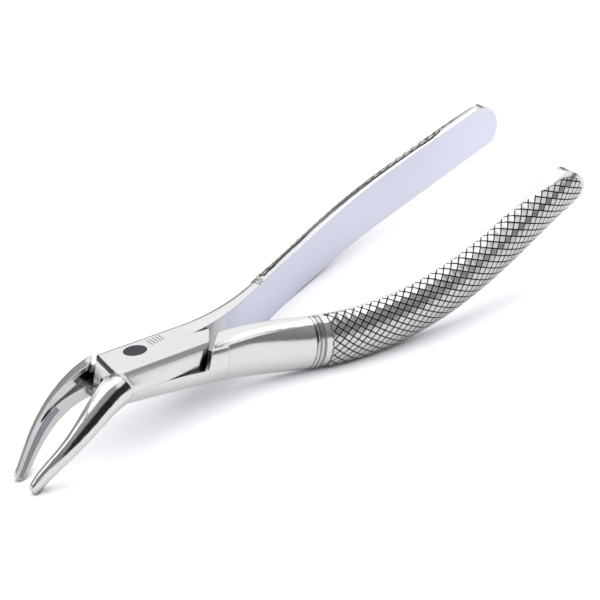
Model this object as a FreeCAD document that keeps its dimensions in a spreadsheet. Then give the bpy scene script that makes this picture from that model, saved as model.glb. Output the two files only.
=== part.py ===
import FreeCAD, Part
import math
import os

import Sketcher

# Extraction forceps: two crossed steel halves on one pivot screw.
# Each half is a handle, a lap plate and a beak in one piece. Both are drawn closed, in the pivot's
# own frame: pivot axis = Z, handles towards +X, beaks towards -X, lap plane at Z = 0.
# A half is then turned open about the pivot, tilted and set down, so that the beak tips and the
# bellies of the handles touch Z = 0. The marked half has its handle on +Y and the upper lap plate,
# the plain half has its handle on -Y and the lower one.

SIZES = {
    # stance on the table
    "half_opening": 4.0,
    "pivot_tilt": 11.8,
    "pivot_x": -45.18,
    "pivot_z": 15.05,
    # lap joint: a block with arched sides, split by slanting shoulders
    "block_half_width": 6.6,
    "block_half_height": 4.9,
    "block_rear": 17.5,
    "side_rise": 2.4,
    "side_corner": 1.6,
    "shoulder_reach": 17.9,
    "shoulder_gap": 0.4,
    "lap_gap": 0.03,
    "pad_front": 14.6,
    "pad_far_front": 9.5,
    "pad_corner": 4.2,
    "nose_height": 4.1,
    "nose_front": 15.9,
    "nose_overlap": 2.6,
    "nose_inset": 1.0,
    # pivot screw and its hole
    "screw_radius": 2.5,
    "thread_radius": 2.2,
    "thread_depth": 3.4,
    "head_radius": 3.6,
    "head_height": 1.6,
    "running_fit": 0.05,
    "slot_width": 0.9,
    "slot_depth": 0.7,
    # beak: two arcs in side view
    "beak_start": 10.0,
    "root_bend_radius": 13.4,
    "root_bend": 42.0,
    "blade_bend_radius": 63.5,
    "blade_bend": 21.0,
    "scoop_floor": 3.5,
    # rounded ends
    "marked_handle_end": 125.0,
    "plain_handle_end": 120.6,
    "handle_end_mid": 29.3,
    "handle_end_slope": 24.0,
    "handle_end_radius": 7.4,
    "tip_radius": 1.75,
    "trim_margin": 19.0,
}

# Handle stations along X: inner face, height of the middle, half height, thickness,
# flat width of the top edge, radius of the outer corners.
HANDLE_KEYS = ("x", "inner", "mid", "half", "thick", "flat", "corner")
HANDLE = {
    "heel": (6.0, 0.15, 0.0, 4.9, 6.4, 4.0, 1.6),
    "neck": (15.0, 0.4, -0.1, 5.2, 6.15, 3.5, 1.7),
    "waist": (26.0, 1.6, 0.1, 6.2, 5.3, 2.4, 1.9),
    "ring": (38.0, 5.0, 0.6, 6.7, 4.9, 1.5, 2.0),
    "belly": (52.0, 8.9, 2.3, 6.95, 4.7, 1.0, 2.1),
    "palm": (68.0, 11.6, 7.1, 7.1, 4.7, 0.8, 2.1),
    "grip": (86.0, 11.7, 14.7, 7.2, 4.8, 0.8, 2.1),
    "hilt": (105.0, 9.2, 24.0, 7.2, 4.7, 0.8, 2.1),
    "end": (127.0, 6.6, 34.0, 6.9, 4.2, 0.8, 1.9),
}

# Beak stations along the bend (share of each arc): inner face, half depth, thickness, flat, corner.
BEAK_KEYS = ("root", "blade", "inner", "half", "thick", "flat", "corner")
BEAK = {
    "base": (0.0, 0.0, 1.2, 4.1, 5.25, 3.0, 1.55),
    "bend": (0.6, 0.0, 2.0, 4.3, 4.5, 1.8, 1.5),
    "elbow": (1.0, 0.1, 3.0, 3.6, 3.6, 1.0, 1.3),
    "blade": (1.0, 0.55, 2.3, 2.4, 2.6, 0.6, 1.0),
    "point": (1.0, 1.0, 0.06, 1.7, 1.6, 0.4, 0.6),
}

# Scoop in the beak's inner face, along the same bend: its edges, from the middle towards the back.
SCOOP_KEYS = ("root", "blade", "low", "high")
SCOOP = {
    "scoop_heel": (0.3, 0.0, -0.9, 3.1),
    "scoop_bend": (0.6, 0.0, -1.0, 3.3),
    "scoop_elbow": (1.0, 0.02, -0.3, 2.8),
    "scoop_mid": (1.0, 0.15, 0.5, 2.35),
    "scoop_far": (1.0, 0.28, 1.0, 2.05),
    "scoop_end": (1.0, 0.42, 1.35, 1.7),
}


def add_sheet(doc):
    """Write every driving dimension to the sheet, one alias per row."""
    sheet = doc.addObject("Spreadsheet::Sheet", "Sizes")
    table = dict(SIZES)
    for stations, keys in ((HANDLE, HANDLE_KEYS), (BEAK, BEAK_KEYS), (SCOOP, SCOOP_KEYS)):
        for name, values in stations.items():
            for key, value in zip(keys, values):
                table[name + "_" + key] = value
    for row, (alias, value) in enumerate(table.items(), start=1):
        sheet.set("A%d" % row, alias)
        sheet.set("B%d" % row, str(value))
        sheet.setAlias("B%d" % row, alias)
    doc.recompute()
    return sheet


def origin_plane(body, role):
    for feature in body.Origin.OriginFeatures:
        if feature.Role == role:
            return feature
    raise ValueError("no origin plane " + role)


def add_sketch(body, name, role):
    """A sketch on one of the body's origin planes."""
    sketch = body.newObject("Sketcher::SketchObject", name)
    sketch.AttachmentSupport = [(origin_plane(body, role), "")]
    sketch.MapMode = "FlatFace"
    return sketch


def bind(sketch, relations, dimensions):
    """Add a sketch's relations and its named dimensions in one go, then tie each dimension to the
    sheet. A dimension is (name, kind, places, value, expression)."""
    first = sketch.ConstraintCount + len(relations)
    sizes = [Sketcher.Constraint(kind, *places, value) for _, kind, places, value, _ in dimensions]
    sketch.addConstraint([Sketcher.Constraint(*relation) for relation in relations] + sizes)
    for index, (name, _, _, _, expression) in enumerate(dimensions, start=first):
        sketch.renameConstraint(index, name)
        sketch.setExpression("Constraints." + name, expression)


def outer_radius(half, rise, corner):
    """Radius of the middle arc of a three-centred arch over a base of 2 * half."""
    return ((half - corner) ** 2 + rise ** 2 - corner ** 2) / (2 * (rise - corner))


def add_section(body, sizes, name, side):
    """Section of a handle or beak: flat inner face, flat top and bottom edges, arched outer face.
    The sketch's X is the body's Y and its Y is the body's Z. The arcs run anticlockwise."""
    def get(key):
        return getattr(sizes, name + "_" + key)

    inner, half, flat, corner = get("inner"), get("half"), get("flat"), get("corner")
    rise = get("thick") - flat
    radius = outer_radius(half, rise, corner)
    spring = inner + flat
    centre = spring + rise - radius
    knee = math.atan2(half - corner, spring - centre)

    def point(y, z):
        return FreeCAD.Vector(side * y, z, 0)

    def arc(y, z, size, start, end):
        if side < 0:
            start, end = math.pi - end, math.pi - start
        return Part.ArcOfCircle(Part.Circle(point(y, z), FreeCAD.Vector(0, 0, 1), size), start, end)

    sketch = add_sketch(body, "Section_" + name, "YZ_Plane")
    sketch.addGeometry([
        Part.LineSegment(point(inner, -half), point(inner, half)),
        Part.LineSegment(point(inner, half), point(spring, half)),
        arc(spring, half - corner, corner, knee, math.pi / 2),
        arc(centre, 0, radius, -knee, knee),
        arc(spring, corner - half, corner, -math.pi / 2, -knee),
        Part.LineSegment(point(spring, -half), point(inner, -half)),
    ], False)
    tie_section(sketch, name, side, get)
    return sketch


def end_of(line, at):
    """1 or 2: the end of an edge that lies at the given point."""
    return 1 if (line.StartPoint - at).Length < (line.EndPoint - at).Length else 2


def shared_ends(loop):
    """(edge, end, next edge, its end) at every corner of a closed loop."""
    joints = []
    for edge, line in enumerate(loop):
        following = (edge + 1) % len(loop)
        others = (loop[following].StartPoint, loop[following].EndPoint)
        ends = (line.StartPoint, line.EndPoint)
        corner = min(ends, key=lambda p: min((p - q).Length for q in others))
        joints.append((edge, end_of(line, corner), following, end_of(loop[following], corner)))
    return joints


def tie_section(sketch, name, side, get):
    """Close, square and dimension a section, so that the sheet drives it."""
    joints = shared_ends(sketch.Geometry)
    relations = [("Tangent" if 0 < joint[0] < 5 else "Coincident", *joint) for joint in joints]
    relations += [("Vertical", 0), ("Horizontal", 1), ("Horizontal", 5), ("Equal", 2, 4), ("Equal", 1, 5)]
    cell = "Sizes." + name + "_"
    rise = "(%sthick - %sflat)" % (cell, cell)
    arch = "((%shalf - %scorner)^2 + %s^2 - %scorner^2) / (2 * (%s - %scorner))" % (
        cell, cell, rise, cell, rise, cell)
    radius = outer_radius(get("half"), get("thick") - get("flat"), get("corner"))
    foot = (0, joints[5][3])
    middle = (-1, 1)
    across = middle + foot if side > 0 else foot + middle
    dimensions = [
        ("inner", "DistanceX", across, get("inner"), cell + "inner"),
        ("below", "DistanceY", foot + middle, get("half"), cell + "half"),
        ("height", "Distance", (0,), 2 * get("half"), "2 * " + cell + "half"),
        ("flat", "Distance", (1,), get("flat"), cell + "flat"),
        ("corner", "Radius", (2,), get("corner"), cell + "corner"),
        ("arch", "Radius", (3,), radius, arch),
    ]
    bind(sketch, relations, dimensions)


def place_section(sketch, x, z, angle):
    """Move a section to its station: x and z are expressions, angle tips it about Y."""
    turn = FreeCAD.Rotation(FreeCAD.Vector(1, 0, 0), 1.0)
    sketch.AttachmentOffset = FreeCAD.Placement(FreeCAD.Vector(0, 0, 0), turn)
    sketch.setExpression("AttachmentOffset.Base.z", x)
    sketch.setExpression("AttachmentOffset.Base.y", z)
    sketch.setExpression("AttachmentOffset.Rotation.Angle", angle)


def add_handle(body, sizes, side):
    sections = []
    for name in HANDLE:
        sketch = add_section(body, sizes, name, side)
        place_section(sketch, "Sizes.%s_x" % name, "Sizes.%s_mid" % name, "0")
        sections.append(sketch)
    loft = body.newObject("PartDesign::AdditiveLoft", "Handle")
    loft.Profile = sections[0]
    loft.Sections = sections[1:]
    return loft


def beak_station(name):
    """Expressions for the place and tip of a beak section on the two arcs of the beak's path."""
    root = "(Sizes.root_bend * Sizes.%s_root * 1 deg)" % name
    turn = "(%s + Sizes.blade_bend * Sizes.%s_blade * 1 deg)" % (root, name)
    first = "Sizes.root_bend_radius"
    second = "Sizes.blade_bend_radius"
    x = "-(Sizes.beak_start + %s * sin(%s) + %s * (sin(%s) - sin(%s)))" % (first, root, second, turn, root)
    z = "-(%s * (1 - cos(%s)) + %s * (cos(%s) - cos(%s)))" % (first, root, second, root, turn)
    return x, z, "-" + turn


def add_beak(body, sizes, side):
    sections = []
    for name in BEAK:
        sketch = add_section(body, sizes, name, -side)
        place_section(sketch, *beak_station(name))
        sections.append(sketch)
    loft = body.newObject("PartDesign::AdditiveLoft", "Beak")
    loft.Profile = sections[0]
    loft.Sections = sections[1:]
    return loft


def add_scoop(body, side):
    """Hollow out the inner face of the beak at its root, down to a flat floor."""
    low, high = [], []
    for name in SCOOP:
        x, z, turn = beak_station(name)
        for edge, corners in (("low", low), ("high", high)):
            across = "Sizes.%s_%s" % (name, edge)
            corners.append(("%s + %s * sin(%s)" % (x, across, turn),
                            "%s + %s * cos(%s)" % (z, across, turn)))
    sketch = outline(body, "ScoopOutline", "XZ_Plane", low + high[::-1])
    return cut(body, "Scoop", sketch, "Sizes.scoop_floor", reverse=side > 0)


def outline(body, name, role, corners, side=1, offset=None):
    """A closed polygon sketch. Each corner is a pair of expressions, Y ones times the side."""
    sketch = add_sketch(body, name, role)
    if offset:
        sketch.setExpression("AttachmentOffset.Base.z", offset)
    signed = [(x, y if side > 0 else "-(%s)" % y) for x, y in corners]
    places = [FreeCAD.Vector(*[float(sketch.evalExpression(e)) for e in pair], 0) for pair in signed]
    count = len(places)
    lines = [Part.LineSegment(places[i], places[(i + 1) % count]) for i in range(count)]
    sketch.addGeometry(lines, False)
    relations = [("Coincident", i, 2, (i + 1) % count, 1) for i in range(count)]
    dimensions = []
    for i, (pair, place) in enumerate(zip(signed, places)):
        for kind, expression, value in zip(("DistanceX", "DistanceY"), pair, place):
            ends = (-1, 1, i, 1) if value > 0 else (i, 1, -1, 1)
            tied = expression if value > 0 else "-(%s)" % expression
            dimensions.append(("%s%d" % (kind[-1].lower(), i), kind, ends, abs(value), tied))
    bind(sketch, relations, dimensions)
    return sketch


def cut(body, name, sketch, length=None, reverse=False, midplane=False):
    """A pocket that must take material away."""
    body.Document.recompute()
    before = body.Shape.Volume
    pocket = body.newObject("PartDesign::Pocket", name)
    pocket.Profile = sketch
    pocket.Reversed = reverse
    pocket.Midplane = midplane
    pocket.setExpression("Length", length or "4 * Sizes.trim_margin")
    body.Document.recompute()
    if not body.Shape.Volume < before - 1e-3:
        raise ValueError(name + " cuts nothing")
    return pocket


def raise_pad(body, name, sketch, length, reverse=False):
    pad = body.newObject("PartDesign::Pad", name)
    pad.Profile = sketch
    pad.Reversed = reverse
    pad.setExpression("Length", length)
    return pad


def add_block_section(body, sizes):
    """Section of the joint block: flat top and bottom, the same arched face on both sides."""
    half, corner, rise = sizes.block_half_height, sizes.side_corner, sizes.side_rise
    radius = outer_radius(half, rise, corner)
    spring = sizes.block_half_width - rise
    centre = spring + rise - radius
    knee = math.atan2(half - corner, spring - centre)
    sketch = add_sketch(body, "BlockSection", "YZ_Plane")
    sketch.setExpression("AttachmentOffset.Base.z", "-Sizes.block_rear")

    def arc(y, z, size, start, end):
        middle = FreeCAD.Vector(y, z, 0)
        return Part.ArcOfCircle(Part.Circle(middle, FreeCAD.Vector(0, 0, 1), size), start, end)

    level = half - corner
    sketch.addGeometry([
        Part.LineSegment(FreeCAD.Vector(spring, half, 0), FreeCAD.Vector(-spring, half, 0)),
        arc(-spring, level, corner, math.pi / 2, math.pi - knee),
        arc(-centre, 0, radius, math.pi - knee, math.pi + knee),
        arc(-spring, -level, corner, math.pi + knee, 3 * math.pi / 2),
        Part.LineSegment(FreeCAD.Vector(-spring, -half, 0), FreeCAD.Vector(spring, -half, 0)),
        arc(spring, -level, corner, -math.pi / 2, -knee),
        arc(centre, 0, radius, -knee, knee),
        arc(spring, level, corner, knee, math.pi / 2),
    ], False)
    relations = [("Tangent", i, 2, (i + 1) % 8, 1) for i in range(8)]
    relations += [("Horizontal", 0), ("Horizontal", 4), ("Equal", 0, 4)]
    relations += [("Equal", 1, 3), ("Equal", 1, 5), ("Equal", 1, 7), ("Equal", 2, 6)]
    tip = "(Sizes.block_half_width - Sizes.side_rise)"
    arch = ("((Sizes.block_half_height - Sizes.side_corner)^2 + Sizes.side_rise^2 - Sizes.side_corner^2)"
            " / (2 * (Sizes.side_rise - Sizes.side_corner))")
    bind(sketch, relations, [
        ("width", "DistanceX", (-1, 1, 0, 1), spring, tip),
        ("height", "DistanceY", (-1, 1, 0, 1), half, "Sizes.block_half_height"),
        ("depth", "DistanceY", (4, 1, -1, 1), half, "Sizes.block_half_height"),
        ("flat", "Distance", (0,), 2 * spring, "2 * " + tip),
        ("corner", "Radius", (1,), corner, "Sizes.side_corner"),
        ("arch", "Radius", (2,), radius, arch),
    ])
    return sketch


def add_block(body, sizes, side, layer):
    """The joint block: shoulders slant from each side face to the middle, the pad's rounded front
    edge leaves room for the lower nose, and the other layer is clear in front of the shoulder."""
    section = add_block_section(body, sizes)
    raise_pad(body, "Block", section, "2 * Sizes.block_rear")
    reach, far = "Sizes.shoulder_reach", "Sizes.trim_margin"
    rear = [
        ("%s + %s" % (reach, far), far),
        ("%s - %s" % (reach, far), "-" + far),
        ("%s + %s" % (reach, far), "-" + far),
    ]
    front = [
        ("%s - %s" % (far, reach), far),
        ("-%s - %s" % (far, reach), far),
        ("-%s - %s" % (far, reach), "-" + far),
    ]
    for name, corners in (("RearShoulder", rear), ("FrontShoulder", front)):
        cut(body, name, outline(body, name + "Outline", "XY_Plane", corners, side), midplane=True)
    cut(body, "PadFront", pad_front_outline(body, side), midplane=True)
    ahead = [
        ("-%s - %s" % (reach, far), far),
        ("-%s + %s" % (reach, far), "-" + far),
        ("-%s - %s" % (reach, far), "-" + far),
    ]
    clear = outline(body, "BeakClearOutline", "XY_Plane", ahead, side)
    return cut(body, "BeakClear", clear, reverse=layer < 0)


def pad_front_outline(body, side):
    """What is cut away in front of the pad: a slanting edge with a round corner at one side."""
    sketch = add_sketch(body, "PadFrontOutline", "XY_Plane")
    names = ("pad_front", "pad_far_front", "pad_corner", "block_half_width", "trim_margin")
    front, far_front, corner, wide, margin = (float(sketch.evalExpression("Sizes." + n)) for n in names)
    centre_x, centre_y = corner - front, corner - wide
    reach_x, reach_y = -far_front - centre_x, margin - centre_y
    bearing = math.atan2(reach_y, reach_x) + math.acos(corner / math.hypot(reach_x, reach_y))

    def place(x, y):
        return FreeCAD.Vector(x, side * y, 0)

    ends = (bearing, 1.5 * math.pi) if side > 0 else (math.pi / 2, 2 * math.pi - bearing)
    circle = Part.Circle(place(centre_x, centre_y), FreeCAD.Vector(0, 0, 1), corner)
    touch = place(centre_x + corner * math.cos(bearing), centre_y + corner * math.sin(bearing))
    corners = [touch, place(-far_front, margin), place(-2 * margin, margin), place(-2 * margin, -margin),
               place(centre_x, -margin), place(centre_x, -wide)]
    lines = [Part.LineSegment(a, b) for a, b in zip(corners, corners[1:])]
    sketch.addGeometry(lines + [Part.ArcOfCircle(circle, *ends)], False)
    upper, lower = (1, 2) if side > 0 else (2, 1)
    relations = [("Coincident", i, 2, i + 1, 1) for i in range(4)]
    relations += [("Tangent", 0, 1, 5, upper), ("Coincident", 4, 2, 5, lower), ("Vertical", 5, 3, 5, lower)]
    relations += [("Horizontal", 1), ("Vertical", 2), ("Horizontal", 3), ("Vertical", 4)]
    middle = (-1, 1)
    upright = ((1, 1), (3, 1), (5, 3))
    levels = [middle + upright[0], upright[1] + middle, upright[2] + middle]
    if side < 0:
        levels = [ends[2:] + ends[:2] for ends in levels]
    bind(sketch, relations, [
        ("radius", "Radius", (5,), corner, "Sizes.pad_corner"),
        ("centre_x", "DistanceX", (5, 3) + middle, -centre_x, "Sizes.pad_front - Sizes.pad_corner"),
        ("centre_y", "DistanceY", levels[2], -centre_y, "Sizes.block_half_width - Sizes.pad_corner"),
        ("far_front", "DistanceX", (1, 1) + middle, far_front, "Sizes.pad_far_front"),
        ("far_side", "DistanceY", levels[0], margin, "Sizes.trim_margin"),
        ("ahead", "DistanceX", (2, 1) + middle, 2 * margin, "2 * Sizes.trim_margin"),
        ("near_side", "DistanceY", levels[1], margin, "Sizes.trim_margin"),
    ])
    return sketch


def add_nose(body, side, layer):
    """The low shelf in front of the pad, where the plate runs into its beak."""
    reach = "Sizes.shoulder_reach"
    shelf = "(%s - Sizes.nose_front)" % reach
    corners = [
        ("-(%s - Sizes.block_half_width + Sizes.nose_inset)" % reach,
         "Sizes.block_half_width - Sizes.nose_inset"),
        ("-Sizes.nose_front", shelf),
        ("-Sizes.nose_front", "-Sizes.nose_overlap"),
        ("-Sizes.beak_start", "-Sizes.nose_overlap - 2 * Sizes.nose_inset"),
        ("-Sizes.beak_start + 4 * Sizes.nose_inset", "Sizes.block_half_width - 2 * Sizes.nose_inset"),
    ]
    sketch = outline(body, "NoseOutline", "XY_Plane", corners, side)
    return raise_pad(body, "Nose", sketch, "Sizes.nose_height", reverse=layer < 0)


def add_lap(body, side, layer):
    """Clear the other half's plate: everything between the slanting shoulders, on its layer."""
    reach = "(Sizes.shoulder_reach + Sizes.shoulder_gap)"
    far = "Sizes.trim_margin"
    corners = [
        ("%s - %s" % (reach, far), far),
        ("-%s - %s" % (reach, far), far),
        ("-%s + %s" % (reach, far), "-" + far),
        ("%s + %s" % (reach, far), "-" + far),
    ]
    level = "Sizes.lap_gap" if layer > 0 else "-Sizes.lap_gap"
    sketch = outline(body, "LapOutline", "XY_Plane", corners, side, offset=level)
    return cut(body, "Lap", sketch, reverse=layer < 0)


def circle_sketch(body, name, radius, level):
    """A circle about the pivot at a given height."""
    sketch = add_sketch(body, name, "XY_Plane")
    sketch.setExpression("AttachmentOffset.Base.z", level)
    value = float(sketch.evalExpression(radius))
    axis = FreeCAD.Vector(0, 0, 1)
    sketch.addGeometry([Part.Circle(FreeCAD.Vector(0, 0, 0), axis, value)], False)
    bind(sketch, [("Coincident", 0, 3, -1, 1)], [("radius", "Radius", (0,), value, radius)])
    return sketch


def add_thread_seat(body):
    """Blind hole in the upper plate for the screw's threaded end."""
    sketch = circle_sketch(body, "SeatOutline", "Sizes.thread_radius + Sizes.running_fit", "0")
    return cut(body, "Seat", sketch, "Sizes.thread_depth", reverse=True)


def add_screw_hole(body):
    """Plain hole for the shank and a counterbore for the head, from the underside."""
    shank = circle_sketch(body, "ShankOutline", "Sizes.screw_radius + Sizes.running_fit", "0")
    cut(body, "ShankHole", shank)
    level = "-Sizes.block_half_height"
    head = circle_sketch(body, "HeadOutline", "Sizes.head_radius + Sizes.running_fit", level)
    return cut(body, "Counterbore", head, "Sizes.head_height + 2 * Sizes.lap_gap", reverse=True)


def add_end_trim(body, name, radius, centre, slope):
    """Round off an end in side view: cut away what lies past a half circle whose axis points along
    the slope. The sketch's X is the body's X and its Y is the body's Z."""
    sketch = add_sketch(body, name + "Outline", "XZ_Plane")
    size, x, z, angle = (float(sketch.evalExpression(e)) for e in (radius, *centre, slope))
    turn = math.radians(angle)
    along = FreeCAD.Vector(math.cos(turn), math.sin(turn), 0)
    across = FreeCAD.Vector(-math.sin(turn), math.cos(turn), 0)
    middle = FreeCAD.Vector(x, z, 0)
    margin = sketch.evalExpression("Sizes.trim_margin")
    corners = [
        middle - across * size,
        middle - across * margin,
        middle + (along - across) * margin,
        middle + (along + across) * margin,
        middle + across * margin,
        middle + across * size,
    ]
    lines = [Part.LineSegment(a, b) for a, b in zip(corners, corners[1:])]
    bow = Part.ArcOfCircle(Part.Circle(middle, FreeCAD.Vector(0, 0, 1), size),
                           turn - math.pi / 2, turn + math.pi / 2)
    sketch.addGeometry(lines + [bow], False)
    relations = [("Coincident", i, 2, i + 1, 1) for i in range(4)]
    relations += [("Coincident", 5, 1, 0, 1), ("Coincident", 5, 2, 4, 2)]
    relations += [("Perpendicular", i, i + 1) for i in range(3)]
    relations += [("Parallel", 0, 4), ("PointOnObject", 5, 3, 0), ("PointOnObject", 5, 3, 4)]
    bind(sketch, relations, [
        ("radius", "Radius", (5,), size, radius),
    ])
    return cut(body, name, sketch, midplane=True)


def add_half(doc, sizes, label, side, layer):
    """One half of the forceps: side is where its handle lies, layer which plate it carries."""
    body = doc.addObject("PartDesign::Body", label)
    body.Label = label
    add_block(body, sizes, side, layer)
    add_handle(body, sizes, side)
    add_beak(body, sizes, side)
    add_nose(body, side, layer)
    add_scoop(body, side)
    add_lap(body, side, layer)
    if layer > 0:
        add_thread_seat(body)
    else:
        add_screw_hole(body)
    end = "Sizes.marked_handle_end" if side > 0 else "Sizes.plain_handle_end"
    drop = "(Sizes.marked_handle_end - %s) * tan(Sizes.handle_end_slope * 1 deg)" % end
    add_end_trim(body, "HandleEnd", "Sizes.handle_end_radius",
                 (end + " - Sizes.handle_end_radius", "Sizes.handle_end_mid - " + drop),
                 "Sizes.handle_end_slope")
    tip_x, tip_z, tip_turn = beak_station("point")
    turn = "(-(%s))" % tip_turn
    add_end_trim(body, "BeakEnd", "Sizes.tip_radius",
                 ("%s + Sizes.tip_radius * cos(%s)" % (tip_x, turn),
                  "%s + Sizes.tip_radius * sin(%s)" % (tip_z, turn)),
                 "180 + Sizes.root_bend + Sizes.blade_bend")
    return body


def add_screw(doc, sizes):
    """Pivot screw: slotted head below, shank through the lower plate, thread in the upper plate."""
    body = doc.addObject("PartDesign::Body", "pivot_screw")
    body.Label = "pivot_screw"
    floor = "-Sizes.block_half_height"
    steps = (
        ("Head", "Sizes.head_radius", floor, "Sizes.head_height"),
        ("Shank", "Sizes.screw_radius", floor, "Sizes.block_half_height + Sizes.lap_gap"),
        ("Thread", "Sizes.thread_radius", floor, "Sizes.block_half_height + Sizes.thread_depth"),
    )
    for name, radius, level, length in steps:
        raise_pad(body, name, circle_sketch(body, name + "Outline", radius, level), length)
    wide, far = "Sizes.slot_width / 2", "Sizes.trim_margin"
    corners = [(far, wide), ("-" + far, wide), ("-" + far, "-" + wide), (far, "-" + wide)]
    slot = outline(body, "SlotOutline", "XY_Plane", corners, offset=floor)
    cut(body, "Slot", slot, "Sizes.slot_depth", reverse=True)
    return body


def placed(sizes, side):
    """Where a body stands: opened about the pivot, then tilted and set on the table."""
    opened = FreeCAD.Rotation(FreeCAD.Vector(0, 0, 1), side * sizes.half_opening)
    tilted = FreeCAD.Rotation(FreeCAD.Vector(0, 1, 0), sizes.pivot_tilt)
    return FreeCAD.Placement(FreeCAD.Vector(sizes.pivot_x, 0, sizes.pivot_z), tilted * opened)


def check(doc, bodies):
    for item in doc.Objects:
        if "Invalid" in item.State or "Error" in item.State:
            raise ValueError("%s failed: %s" % (item.Name, item.State))
    for body in bodies:
        shape = body.Shape
        if shape.isNull() or not shape.isValid() or len(shape.Solids) != 1:
            raise ValueError(body.Label + " is not one valid solid")


def main():
    doc = FreeCAD.newDocument("ExtractionForceps")
    sizes = add_sheet(doc)
    marked = add_half(doc, sizes, "marked_half", 1, 1)
    plain = add_half(doc, sizes, "plain_half", -1, -1)
    screw = add_screw(doc, sizes)
    marked.Placement = placed(sizes, 1)
    screw.Placement = placed(sizes, 1)
    plain.Placement = placed(sizes, -1)
    doc.recompute()
    bodies = (marked, plain, screw)
    check(doc, bodies)
    os.makedirs("parts", exist_ok=True)
    for body in bodies:
        body.Shape.exportStep("parts/%s.step" % body.Label)
        box = body.Shape.BoundBox
        print(body.Label, round(body.Shape.Volume, 1), [round(v, 2) for v in (
            box.XMin, box.XMax, box.YMin, box.YMax, box.ZMin, box.ZMax)])


main()
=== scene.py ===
import math

import bmesh
import bpy
from bpy.props import FloatProperty, FloatVectorProperty, IntProperty, PointerProperty
from mathutils import Matrix, Vector
from mathutils.bvhtree import BVHTree


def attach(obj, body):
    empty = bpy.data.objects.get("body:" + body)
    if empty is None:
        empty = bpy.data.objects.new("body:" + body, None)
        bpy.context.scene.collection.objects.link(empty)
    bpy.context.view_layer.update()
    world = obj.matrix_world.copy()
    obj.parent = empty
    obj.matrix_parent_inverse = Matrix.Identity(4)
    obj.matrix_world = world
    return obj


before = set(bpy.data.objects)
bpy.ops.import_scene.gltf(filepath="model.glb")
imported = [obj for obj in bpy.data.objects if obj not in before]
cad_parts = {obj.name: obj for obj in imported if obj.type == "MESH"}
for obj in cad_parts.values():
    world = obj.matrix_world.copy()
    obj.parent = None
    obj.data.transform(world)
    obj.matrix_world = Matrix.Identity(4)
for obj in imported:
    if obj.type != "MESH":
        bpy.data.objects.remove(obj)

bl_info = {
    "name": "Extraction Forceps Look",
    "version": (1, 0, 0),
    "blender": (4, 5, 0),
    "location": "3D View > Sidebar > Forceps",
    "description": "Grips, serrations, mark, finishes and studio for the extraction forceps",
    "category": "Object",
}

MM = 0.001

# Each half in the pivot's own frame: its body, its node, the side of its handle.
HALVES = (("marked_side", "marked_half", 1), ("plain_side", "plain_half", -1))

# Slabs are sunk this deep under the steel, and their outer skin starts this far above it.
SINK = -0.3 * MM
SKIN = 0.01 * MM

# The toothed strip ends here along the beak.
STRIP_END = 32.3 * MM

# Ridges of the ringed band along its length, as shares of their full height.
RIDGES = (0, 0.6, 1, 1, 0.1, 0.1, 1, 1, 0.1, 0.1, 0)

# Handle sections along X, in mm: inner face, height of the middle, half height, thickness.
STATIONS = (
    (26.0, 1.6, 0.1, 6.2, 5.3),
    (38.0, 5.0, 0.6, 6.7, 4.9),
    (52.0, 8.9, 2.3, 6.95, 4.7),
    (68.0, 11.6, 7.1, 7.1, 4.7),
    (86.0, 11.7, 14.7, 7.2, 4.8),
    (105.0, 9.2, 24.0, 7.2, 4.7),
    (127.0, 6.6, 34.0, 6.9, 4.2),
)


def linear(code):
    """An sRGB hex colour as linear RGBA."""
    channels = [int(code[i:i + 2], 16) / 255 for i in (1, 3, 5)]
    curve = [c / 12.92 if c <= 0.04045 else ((c + 0.055) / 1.055) ** 2.4 for c in channels]
    return tuple(curve + [1.0])


def colour(name, text, code):
    return FloatVectorProperty(name=name, description=text, subtype="COLOR", size=4, min=0, max=1,
                               default=linear(code))


def length(name, text, value):
    return FloatProperty(name=name, description=text, default=value * MM, unit="LENGTH", precision=5)


def angle(name, text, degrees):
    return FloatProperty(name=name, description=text, default=math.radians(degrees), subtype="ANGLE")


class ForcepsLook(bpy.types.PropertyGroup):
    """Sizes and colours of everything that is added to the two halves and the screw."""
    pivot_x: length("Pivot X", "Place of the pivot along the forceps", -45.18)
    pivot_z: length("Pivot Z", "Height of the pivot above the table", 15.05)
    tilt: angle("Pivot tilt", "Lean of the pivot axis", 11.8)
    opening: angle("Half opening", "Turn of each half away from the middle", 4)
    cell_length: length("Diamond length", "Length of one grip diamond along the handle", 2.3)
    cell_height: length("Diamond height", "Height of one grip diamond round the handle", 2.1)
    relief: length("Grip relief", "Height of the grip diamonds", 0.36)
    groove: length("Grip groove", "Half width of the grooves between diamonds", 0.22)
    grip_start: length("Grip start", "Where the grip pattern starts along the handle", 44.2)
    ring_start: length("Ring start", "Where the ringed band starts along the handle", 40.3)
    ring_length: length("Ring length", "Length of the ringed band", 2.6)
    ring_relief: length("Ring relief", "Height of the ringed band's ridges", 0.22)
    tooth_pitch: length("Tooth pitch", "Distance between the teeth of a beak", 0.62)
    tooth_height: length("Tooth height", "Height of the teeth of a beak", 0.12)
    tooth_width: length("Tooth width", "Width of the toothed strip of a beak", 2.0)
    teeth: IntProperty(name="Teeth", description="Teeth of each beak", default=28, min=4)
    steel: colour("Steel", "Polished instrument steel", "#C3C4C1")
    satin: colour("Satin steel", "Brushed inner face of the handles", "#C9CAD6")
    grip_steel: colour("Grip steel", "Crests of the grip and its rings", "#B5B6B2")
    # Groove steel's darker colour is painted shade in the grip's grooves and between the rings.
    shaded_groove_steel: colour("Groove steel", "Flanks of the grip's grooves", "#84857F")
    tooth_steel: colour("Tooth steel", "Dull steel of the cross-cut teeth", "#8E9096")
    etch: colour("Etching", "Dark etched mark", "#303136")
    paper: colour("Paper", "Floor of the studio", "#FAFAFB")
    card: colour("Card", "Black card beside the beaks", "#08080A")
    sky: colour("Tent", "Light all round the studio", "#EEF0F8")


# ---------------------------------------------------------------- materials

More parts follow.
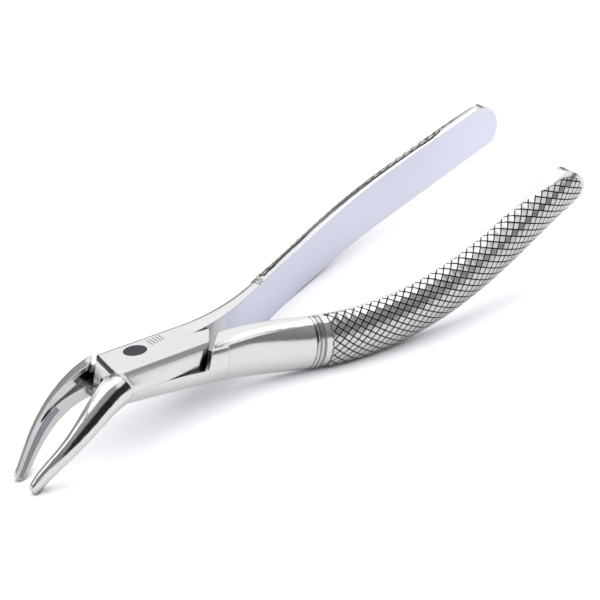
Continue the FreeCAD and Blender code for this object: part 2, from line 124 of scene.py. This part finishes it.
def node(tree, kind, settings=None, links=None):
    """Add a shader node, set its properties and sockets, and link sockets from others."""
    item = tree.nodes.new(kind)
    for key, value in (settings or {}).items():
        if isinstance(key, str) and key in item.inputs:
            item.inputs[key].default_value = value
        else:
            setattr(item, key, value)
    for key, socket in (links or {}).items():
        tree.links.new(socket, item.inputs[key])
    return item


def new_material(name):
    material = bpy.data.materials.new(name)
    material.use_nodes = True
    material.node_tree.nodes.clear()
    return material, material.node_tree


def steel_material(name, tint, roughness, spread, streak, edge):
    """Stainless steel: roughness varies by spread over a few mm, streaks run across the length, edges are
    rounded by a few tenths of a mm, and the colour is darkened as painted shade in narrow gaps and inner
    corners."""
    material, tree = new_material(name)
    place = node(tree, "ShaderNodeTexCoord").outputs["Object"]
    cloud = node(tree, "ShaderNodeTexNoise", {"Scale": 1 / (6 * MM), "Detail": 3.0}, {"Vector": place})
    rough = node(tree, "ShaderNodeMapRange", {"To Min": roughness - spread, "To Max": roughness + spread},
                 {"Value": cloud.outputs["Fac"]})
    stretch = node(tree, "ShaderNodeMapping", {"Scale": (1 / (9 * MM), 1 / (1.2 * MM), 1 / (0.35 * MM))},
                   {"Vector": place})
    lines = node(tree, "ShaderNodeTexNoise", {"Scale": 1.0, "Detail": 4.0}, {"Vector": stretch.outputs[0]})
    soft = node(tree, "ShaderNodeBevel", {"samples": 6, "Radius": edge})
    bump = node(tree, "ShaderNodeBump", {"Strength": streak, "Distance": 0.02 * MM},
                {"Height": lines.outputs["Fac"], "Normal": soft.outputs["Normal"]})
    # Painted shade: ambient occlusion darkens the base colour in narrow gaps and inner corners.
    shade = node(tree, "ShaderNodeAmbientOcclusion", {"samples": 8, "Distance": 3.5 * MM})
    depth = node(tree, "ShaderNodeMapRange", {"From Min": 0.25, "From Max": 0.9, "To Min": 0.01},
                 {"Value": shade.outputs["AO"]})
    painted_shade_colour = node(tree, "ShaderNodeVectorMath", {"operation": "SCALE"}, {"Scale": depth.outputs[0]})
    painted_shade_colour.inputs[0].default_value = tint[:3]
    shader = node(tree, "ShaderNodeBsdfPrincipled", {"Metallic": 1.0}, {
        "Base Color": painted_shade_colour.outputs[0], "Roughness": rough.outputs[0], "Normal": bump.outputs["Normal"]})
    node(tree, "ShaderNodeOutputMaterial", links={"Surface": shader.outputs[0]})
    return material


def satin_faces(material, look, inward, start):
    """Turn a steel satin on the flat inner face of a handle, from start on along X."""
    tree = material.node_tree
    shader = next(n for n in tree.nodes if n.type == "BSDF_PRINCIPLED")
    coords = node(tree, "ShaderNodeTexCoord")
    facing = node(tree, "ShaderNodeVectorMath", {"operation": "DOT_PRODUCT"}, {0: coords.outputs["Normal"]})
    facing.inputs[1].default_value = inward
    flat = node(tree, "ShaderNodeMapRange", {"From Min": 0.9, "From Max": 0.93},
                {"Value": facing.outputs["Value"]})
    split = node(tree, "ShaderNodeSeparateXYZ", links={"Vector": coords.outputs["Object"]})
    past = node(tree, "ShaderNodeMapRange", {"From Min": start, "From Max": start + 3 * MM},
                {"Value": split.outputs["X"]})
    share = node(tree, "ShaderNodeMath", {"operation": "MULTIPLY"}, {0: flat.outputs[0], 1: past.outputs[0]})
    polished = shader.inputs["Roughness"].links[0].from_socket
    rough = node(tree, "ShaderNodeMix", {"data_type": "FLOAT"},
                 {"Factor": share.outputs[0], "A": polished})
    rough.inputs["B"].default_value = 0.42
    tint = node(tree, "ShaderNodeMix", {"data_type": "RGBA"})
    tree.links.new(share.outputs[0], tint.inputs["Factor"])
    tree.links.new(shader.inputs["Base Color"].links[0].from_socket, tint.inputs[6])
    tint.inputs[7].default_value = look.satin
    tree.links.new(rough.outputs["Result"], shader.inputs["Roughness"])
    tree.links.new(tint.outputs[2], shader.inputs["Base Color"])


def plain_material(name, tint, roughness, metallic):
    """An even finish with a little grain."""
    material, tree = new_material(name)
    place = node(tree, "ShaderNodeTexCoord").outputs["Object"]
    grain = node(tree, "ShaderNodeTexNoise", {"Scale": 1 / (0.4 * MM), "Detail": 2.0}, {"Vector": place})
    rough = node(tree, "ShaderNodeMapRange", {"To Min": roughness - 0.05, "To Max": roughness + 0.05},
                 {"Value": grain.outputs["Fac"]})
    shader = node(tree, "ShaderNodeBsdfPrincipled", {"Base Color": tint, "Metallic": metallic},
                  {"Roughness": rough.outputs[0]})
    node(tree, "ShaderNodeOutputMaterial", links={"Surface": shader.outputs[0]})
    return material


# ---------------------------------------------------------------- places on the halves

def half_matrix(look, side):
    """From a half's own frame to the row frame."""
    lift = Matrix.Translation((look.pivot_x, 0, look.pivot_z))
    return lift @ Matrix.Rotation(look.tilt, 4, "Y") @ Matrix.Rotation(side * look.opening, 4, "Z")


def surface_tree(name):
    """Search tree over a CAD node's surface."""
    bm = bmesh.new()
    bm.from_mesh(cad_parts[name].data)
    tree = BVHTree.FromBMesh(bm)
    bm.free()
    return tree


def between(x):
    """Handle section at x (mm), on a smooth curve through the stations."""
    k = max(i for i in range(len(STATIONS) - 1) if STATIONS[i][0] <= x or i == 0)
    a, b, c, d = [STATIONS[min(max(k + n, 0), len(STATIONS) - 1)] for n in (-1, 0, 1, 2)]
    step = c[0] - b[0]
    f = (x - b[0]) / step
    values = []
    for j in range(1, 5):
        start = (c[j] - a[j]) / (c[0] - a[0]) * step
        end = (d[j] - b[j]) / (d[0] - b[0]) * step
        values.append((2 * f ** 3 - 3 * f ** 2 + 1) * b[j] + (f ** 3 - 2 * f ** 2 + f) * start
                      + (3 * f ** 2 - 2 * f ** 3) * c[j] + (f ** 3 - f ** 2) * end)
    return values


def handle_point(x, t, side):
    """Point of the outer face in the half's frame (m): x along, t round it from the middle (mm)."""
    flat, corner, palm_half = 0.9, 2.1, 7.1
    inner, mid, half, thick = between(x)
    slope = math.atan(between(x + 0.5)[1] - between(x - 0.5)[1])
    half *= math.cos(slope)
    t *= half / palm_half
    rise = thick - flat
    radius = ((half - corner) ** 2 + rise ** 2 - corner ** 2) / (2 * (rise - corner))
    knee = math.atan2(half - corner, radius - rise)
    run = abs(t)
    if run < radius * knee:
        y, z = inner + thick - radius + radius * math.cos(run / radius), radius * math.sin(run / radius)
    elif run < radius * knee + corner * (math.pi / 2 - knee):
        turn = knee + (run - radius * knee) / corner
        y, z = inner + flat + corner * math.cos(turn), half - corner + corner * math.sin(turn)
    else:
        y = inner + flat - (run - radius * knee - corner * (math.pi / 2 - knee))
        z = half
    z = math.copysign(z, t)
    return Vector((x - z * math.sin(slope), side * y, mid + z * math.cos(slope))) * MM


def beak_point(run, across, side):
    """Point on the middle plane in the half's frame, beside the beak's inner face. run is along the
    beak from its root, across is towards its back (both mm)."""
    start, bend = 10, math.radians(42)
    root, blade = 13.4, 63.5
    if run < root * bend:
        turn = run / root
        x, z = start + root * math.sin(turn), root * (1 - math.cos(turn))
    else:
        turn = bend + (run - root * bend) / blade
        x = start + root * math.sin(bend) + blade * (math.sin(turn) - math.sin(bend))
        z = root * (1 - math.cos(bend)) + blade * (math.cos(bend) - math.cos(turn))
    return Vector((-x - across * math.sin(turn), 0, -z + across * math.cos(turn))) * MM


# ---------------------------------------------------------------- meshes

def finish_mesh(bm, name, materials):
    """Turn a bmesh into an object at the origin."""
    bmesh.ops.recalc_face_normals(bm, faces=bm.faces)
    mesh = bpy.data.meshes.new(name)
    bm.to_mesh(mesh)
    bm.free()
    for material in materials:
        mesh.materials.append(material)
    obj = bpy.data.objects.new(name, mesh)
    bpy.context.scene.collection.objects.link(obj)
    return obj


def thicken(bm, low, high):
    """Make a flat sheet a closed slab between two heights, and return its top faces."""
    bottom = list(bm.faces)
    made = bmesh.ops.extrude_face_region(bm, geom=bottom, use_keep_orig=True)["geom"]
    top = [g for g in made if isinstance(g, bmesh.types.BMFace)]
    raised = [g for g in made if isinstance(g, bmesh.types.BMVert)]
    bmesh.ops.translate(bm, verts=raised, vec=(0, 0, high))
    bmesh.ops.translate(bm, verts=list({v for f in bottom for v in f.verts}), vec=(0, 0, low))
    return top


def bend_on(bm, place, tree, matrix):
    """Lay a slab in (along, round, height) onto a half's surface."""
    for vert in bm.verts:
        x, t, height = vert.co / MM
        spot, normal, _, _ = tree.find_nearest(matrix @ place(x, t))
        vert.co = spot + normal * height * MM


def clip(bm, point, normal):
    """Cut away what lies on the normal's side of a plane."""
    geom = bm.verts[:] + bm.edges[:] + bm.faces[:]
    bmesh.ops.bisect_plane(bm, geom=geom, plane_co=point, plane_no=normal, clear_outer=True)


def diamond_sheet(look, start, end, reach, end_radius):
    """Flat sheet of diamond cells from start to end, with a rounded far end (all m)."""
    bm = bmesh.new()
    cells = 2 * math.ceil((end - start) / look.cell_length / 2 + reach / look.cell_height) + 2
    bmesh.ops.create_grid(bm, x_segments=cells, y_segments=cells, size=cells / 2)
    a, b = look.cell_length / 2, look.cell_height / 2
    shear = Matrix(((a, -a, 0, (start + end) / 2), (b, b, 0, 0), (0, 0, 1, 0), (0, 0, 0, 1)))
    bmesh.ops.transform(bm, matrix=shear, verts=bm.verts)
    clip(bm, (start, 0, 0), (-1, 0, 0))
    clip(bm, (0, reach, 0), (0, 1, 0))
    clip(bm, (0, -reach, 0), (0, -1, 0))
    for step in range(-4, 5):
        turn = step * math.radians(20)
        normal = Vector((math.cos(turn), math.sin(turn), 0))
        clip(bm, Vector((end - end_radius, 0, 0)) + normal * end_radius, normal)
    full = look.cell_length * look.cell_height / 2
    slivers = [f for f in bm.faces if f.calc_area() < 0.3 * full]
    bmesh.ops.delete(bm, geom=slivers, context="FACES")
    return bm


# ---------------------------------------------------------------- operators

class FORCEPS_OT_finishes(bpy.types.Operator):
    """Give the halves and the screw their steel"""
    bl_idname = "forceps.finishes"
    bl_label = "Steel Finishes"

    def execute(self, context):
        look = context.scene.forceps_look
        satin_start = -22 * MM
        # Turned stainless steel: a duller shine than the halves'.
        turned = steel_material("turned_steel", look.steel, 0.3, 0.05, 0.5, 0.15 * MM)
        finishes = {"pivot_screw": turned}
        for _, name, side in HALVES:
            # Polished stainless steel: sharp, bright reflections. The handle's inner face is satin
            # and glows evenly.
            polished = steel_material(name + "_steel", look.steel, 0.15, 0.04, 0.2, 0.25 * MM)
            inward = half_matrix(look, side).to_3x3() @ Vector((0, -side, 0))
            satin_faces(polished, look, inward, satin_start)
            finishes[name] = polished
        for name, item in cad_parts.items():
            item.data.materials.clear()
            item.data.materials.append(finishes[name])
        return {"FINISHED"}


class FORCEPS_OT_grips(bpy.types.Operator):
    """Add the diamond grip and the ringed band of both handles"""
    bl_idname = "forceps.grips"
    bl_label = "Grips"

    def execute(self, context):
        look = context.scene.forceps_look
        # Cross-cut stainless steel: every crest catches a small highlight.
        cut = steel_material("cut_grip_steel", look.grip_steel, 0.2, 0.04, 0.1, 0.04 * MM)
        # The flanks of its grooves, as cut: duller, and their darker colour is painted shade in the grooves,
        # so they read as a dark net.
        shaded_groove = steel_material("cut_groove_steel", look.shaded_groove_steel, 0.3, 0.05, 0.1, 0.04 * MM)
        end_radius, ring_reach = 6.6 * MM, 18.8 * MM
        for body, name, side in HALVES:
            tree, matrix = surface_tree(name), half_matrix(look, side)
            # The marked half's grip runs further along its longer handle, and is narrower, so both
            # of its edges stay polished.
            end, reach = (123.2, 8.4) if side > 0 else (118.8, 9.3)

            def place(x, t):
                return handle_point(x, t, side)

            bm = diamond_sheet(look, look.grip_start, end * MM, reach * MM, end_radius)
            top = thicken(bm, SINK, SKIN)
            flanks = bmesh.ops.inset_individual(bm, faces=top, thickness=look.groove, depth=look.relief)
            for face in flanks["faces"]:
                face.material_index = 1
            bend_on(bm, place, tree, matrix)
            grip = finish_mesh(bm, name + "_grip", [cut, shaded_groove])
            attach(grip, body)

            bm = bmesh.new()
            bmesh.ops.create_grid(bm, x_segments=len(RIDGES) - 1, y_segments=48, size=0.5)
            middle = look.ring_start + look.ring_length / 2
            bmesh.ops.scale(bm, vec=(look.ring_length, ring_reach, 1), verts=bm.verts)
            bmesh.ops.translate(bm, vec=(middle, 0, 0), verts=bm.verts)
            top = thicken(bm, SINK, 0)
            for vert in {v for f in top for v in f.verts}:
                step = round((vert.co.x - look.ring_start) / look.ring_length * (len(RIDGES) - 1))
                vert.co.z = RIDGES[step] * look.ring_relief
            # The low faces between the ridges take the groove steel, whose darker colour is painted shade.
            for face in top:
                face.material_index = int(face.calc_center_median().z < 0.5 * look.ring_relief)
            bend_on(bm, place, tree, matrix)
            ring = finish_mesh(bm, name + "_rings", [cut, shaded_groove])
            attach(ring, body)
        return {"FINISHED"}


class FORCEPS_OT_teeth(bpy.types.Operator):
    """Add the toothed strip on the inner face of both beaks"""
    bl_idname = "forceps.teeth"
    bl_label = "Beak Teeth"

    def execute(self, context):
        look = context.scene.forceps_look
        # Cross-cut stainless steel, dull: an even grey sheen.
        dull = plain_material("dull_tooth_steel", look.tooth_steel, 0.4, 1.0)
        # End of the beak and the length over which the strip narrows, in mm.
        tip, narrowing = 32.6, 14
        for body, name, side in HALVES:
            tree, matrix = surface_tree(name), half_matrix(look, side)
            outward = (matrix.to_3x3() @ Vector((0, -side, 0))).normalized()
            bm = bmesh.new()
            bmesh.ops.create_grid(bm, x_segments=2 * look.teeth, y_segments=4, size=0.5)
            run = look.teeth * look.tooth_pitch
            bmesh.ops.scale(bm, vec=(run, look.tooth_width, 1), verts=bm.verts)
            bmesh.ops.translate(bm, vec=(STRIP_END - run / 2, 0, 0), verts=bm.verts)
            top = thicken(bm, SINK / 2, SKIN)
            for vert in {v for f in top for v in f.verts}:
                crest = round((vert.co.x - STRIP_END) / look.tooth_pitch * 2) % 2
                vert.co.z += crest * look.tooth_height
            for vert in bm.verts:
                x, t, height = vert.co / MM
                # The strip narrows to half its width at the tip.
                taper = 0.5 + 0.5 * min(1, (tip - x) / narrowing)
                start = matrix @ beak_point(x, t * taper, side)
                spot, _, _, _ = tree.ray_cast(start - outward * 0.5 * MM, outward)
                if spot is None:
                    raise ValueError("a tooth of %s misses the beak" % name)
                vert.co = spot - outward * height * MM
            strip = finish_mesh(bm, name + "_teeth", [dull])
            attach(strip, body)
        return {"FINISHED"}


class FORCEPS_OT_mark(bpy.types.Operator):
    """Add a plain etched badge and strokes to the joint plate"""
    bl_idname = "forceps.mark"
    bl_label = "Etched Mark"

    def execute(self, context):
        look = context.scene.forceps_look
        # Laser-etched steel: dark grey and matt.
        etched = plain_material("etched_steel", look.etch, 0.55, 0.5)
        matrix = half_matrix(look, 1)
        bm = bmesh.new()
        thick, level = 0.06 * MM, 4.89 * MM
        for stroke in range(5):
            made = bmesh.ops.create_cube(bm, size=1.0)["verts"]
            bmesh.ops.scale(bm, vec=(0.2 * MM, 2.2 * MM, thick), verts=made)
            place = ((1 + stroke) * MM, (2.4 + 0.1 * stroke) * MM, level)
            bmesh.ops.translate(bm, vec=place, verts=made)
        made = bmesh.ops.create_cone(bm, cap_ends=True, segments=40, radius1=1, radius2=1, depth=1)
        badge = made["verts"]
        bmesh.ops.scale(bm, vec=(3.3 * MM, 2.0 * MM, thick), verts=badge)
        bmesh.ops.translate(bm, vec=(-4.4 * MM, 1.5 * MM, level), verts=badge)
        bmesh.ops.transform(bm, matrix=matrix, verts=bm.verts)
        mark = finish_mesh(bm, "etched_mark", [etched])
        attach(mark, "marked_side")
        return {"FINISHED"}


class FORCEPS_OT_stage(bpy.types.Operator):
    """Set the floor, the lights, the black card and the camera"""
    bl_idname = "forceps.stage"
    bl_label = "Studio"

    def execute(self, context):
        scene = context.scene
        look = scene.forceps_look
        # White paper: matt, so it shows only the softest shadows.
        paper = plain_material("white_paper", look.paper, 0.8, 0.0)
        bm = bmesh.new()
        bmesh.ops.create_grid(bm, x_segments=1, y_segments=1, size=2.0)
        finish_mesh(bm, "floor", [paper])

        world = bpy.data.worlds.new("tent")
        world.use_nodes = True
        tree = world.node_tree
        tree.nodes.clear()
        # Dim at the horizon and brighter overhead.
        aim = node(tree, "ShaderNodeTexCoord").outputs["Generated"]
        height = node(tree, "ShaderNodeSeparateXYZ", links={"Vector": aim}).outputs["Z"]
        glow = node(tree, "ShaderNodeMapRange",
                    {"From Min": 0.05, "From Max": 0.45, "To Min": 0.28, "To Max": 0.55}, {"Value": height})
        back = node(tree, "ShaderNodeBackground", {"Color": look.sky}, {"Strength": glow.outputs[0]})
        node(tree, "ShaderNodeOutputWorld", links={"Surface": back.outputs[0]})
        scene.world = world

        # Soft boxes: name, place, width and power.
        boxes = (
            ("overhead", (0.0, -0.05, 1.0), 1.6, 15.5),
            ("back", (0.6, 0.75, 0.65), 0.8, 2.1),
            ("side", (-0.8, 0.15, 0.5), 0.5, 1.5),
            ("front", (0.6, -0.85, 0.5), 0.55, 1.0),
        )
        for name, place, size, power in boxes:
            data = bpy.data.lights.new(name, "AREA")
            data.size = size
            data.energy = power
            lamp = bpy.data.objects.new(name, data)
            lamp.location = place
            lamp.rotation_euler = Vector(place).to_track_quat("Z", "Y").to_euler()
            scene.collection.objects.link(lamp)

        # A black card low in front of the beaks gives their outer faces a dark band.
        black = plain_material("black_card", look.card, 0.9, 0.0)
        bm = bmesh.new()
        bmesh.ops.create_grid(bm, x_segments=1, y_segments=1, size=0.5)
        bmesh.ops.scale(bm, vec=(96 * MM, 34 * MM, 1), verts=bm.verts)
        upright = Matrix.Rotation(math.radians(90), 3, "X")
        bmesh.ops.rotate(bm, cent=(0, 0, 0), matrix=upright, verts=bm.verts)
        bmesh.ops.translate(bm, vec=(-66 * MM, -50 * MM, 18 * MM), verts=bm.verts)
        card = finish_mesh(bm, "black_card", [black])
        card.visible_camera = card.visible_diffuse = card.visible_shadow = False

        self.add_camera(scene)
        scene.view_settings.view_transform = "Standard"
        return {"FINISHED"}

    def add_camera(self, scene):
        """The three-quarter view from the beak side, through a long lens."""
        turn, rise, roll = math.radians(-41.62), math.radians(35.72), math.radians(-0.35)
        back = Vector((math.sin(turn) * math.cos(rise), -math.cos(turn) * math.cos(rise), math.sin(rise)))
        right = Vector((math.cos(turn), math.sin(turn), 0))
        up = back.cross(right)
        level = right * math.cos(roll) + up * math.sin(roll)
        upright = up * math.cos(roll) - right * math.sin(roll)
        data = bpy.data.cameras.new("camera")
        data.lens = 145.9
        data.sensor_width = 36
        data.clip_start = 0.01
        camera = bpy.data.objects.new("camera", data)
        target, distance = Vector((11.2, 12.3, 0)) * MM, 0.6
        basis = Matrix((level, upright, back)).transposed().to_4x4()
        camera.matrix_world = Matrix.Translation(target + back * distance) @ basis
        scene.collection.objects.link(camera)
        scene.camera = camera


class FORCEPS_PT_panel(bpy.types.Panel):
    bl_label = "Extraction Forceps"
    bl_idname = "FORCEPS_PT_panel"
    bl_space_type = "VIEW_3D"
    bl_region_type = "UI"
    bl_category = "Forceps"

    def draw(self, context):
        look = context.scene.forceps_look
        for key in ForcepsLook.__annotations__:
            self.layout.prop(look, key)
        for operator in OPERATORS:
            self.layout.operator(operator.bl_idname)


OPERATORS = (FORCEPS_OT_finishes, FORCEPS_OT_grips, FORCEPS_OT_teeth, FORCEPS_OT_mark, FORCEPS_OT_stage)
CLASSES = (ForcepsLook,) + OPERATORS + (FORCEPS_PT_panel,)


def register():
    for item in CLASSES:
        bpy.utils.register_class(item)
    bpy.types.Scene.forceps_look = PointerProperty(type=ForcepsLook)


def unregister():
    del bpy.types.Scene.forceps_look
    for item in reversed(CLASSES):
        bpy.utils.unregister_class(item)


def main():
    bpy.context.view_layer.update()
    register()
    bpy.ops.forceps.finishes()
    bpy.ops.forceps.grips()
    bpy.ops.forceps.teeth()
    bpy.ops.forceps.mark()
    bpy.ops.forceps.stage()


if __name__ == "__main__":
    main()
